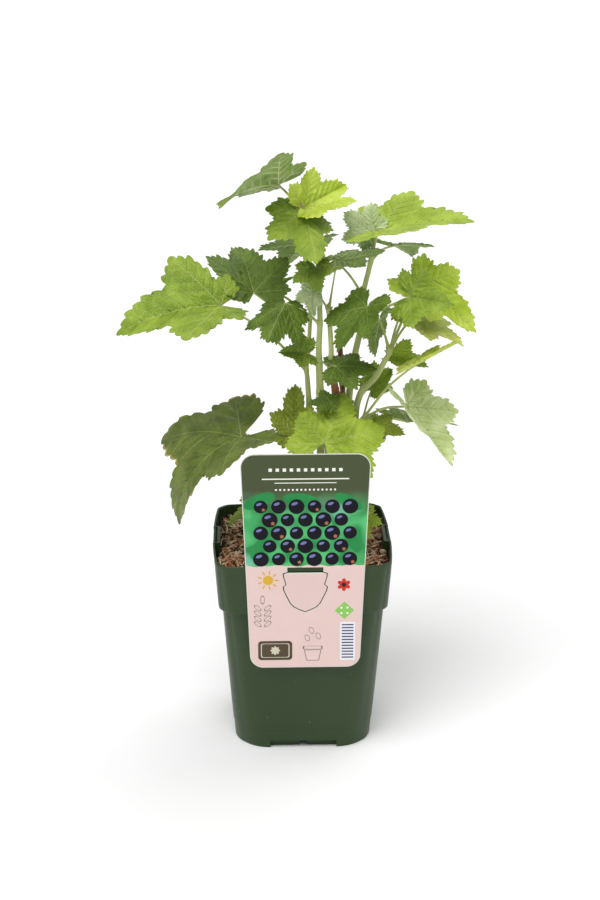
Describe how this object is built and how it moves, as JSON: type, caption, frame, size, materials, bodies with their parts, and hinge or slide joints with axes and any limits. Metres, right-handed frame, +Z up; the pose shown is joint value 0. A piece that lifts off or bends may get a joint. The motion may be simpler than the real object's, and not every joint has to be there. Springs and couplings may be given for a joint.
{
  "type": "potted currant bush",
  "caption": "Young currant bush with upright green shoots and lobed leaves, in a tapered square nursery pot with a hanging card label.",
  "frame": {"origin": "on the ground under the middle of the pot's centre pad", "axes": "+Z up; -Y is the front, where the card label hangs; +X is to the right of someone facing the label"},
  "size_m": [0.2603, 0.1675, 0.4474],
  "materials": {
    "pot_plastic": "satin",
    "compost": "matt",
    "label_card": "satin",
    "brown_wood": "matt",
    "green_wood": "satin",
    "leaf": "matt"
  },
  "bodies": {
    "root": {"pot": "pot_plastic", "compost": "compost", "label_card": "label_card", "main_stem": "brown_wood", "old_twig": "brown_wood", "shoot_left": "green_wood", "shoot_middle": "green_wood", "shoot_right": "green_wood", "shoot_side": "green_wood", "leaves_left": "leaf", "leaves_middle": "leaf", "leaves_centre": "leaf", "leaves_right": "leaf", "leaves_side": "leaf", "leaves_low_right": "leaf", "leaves_low_left": "leaf", "leaves_low_front": "leaf", "leaves_low_side": "leaf", "leaves_low_back": "leaf"}
  },
  "joints": []
}
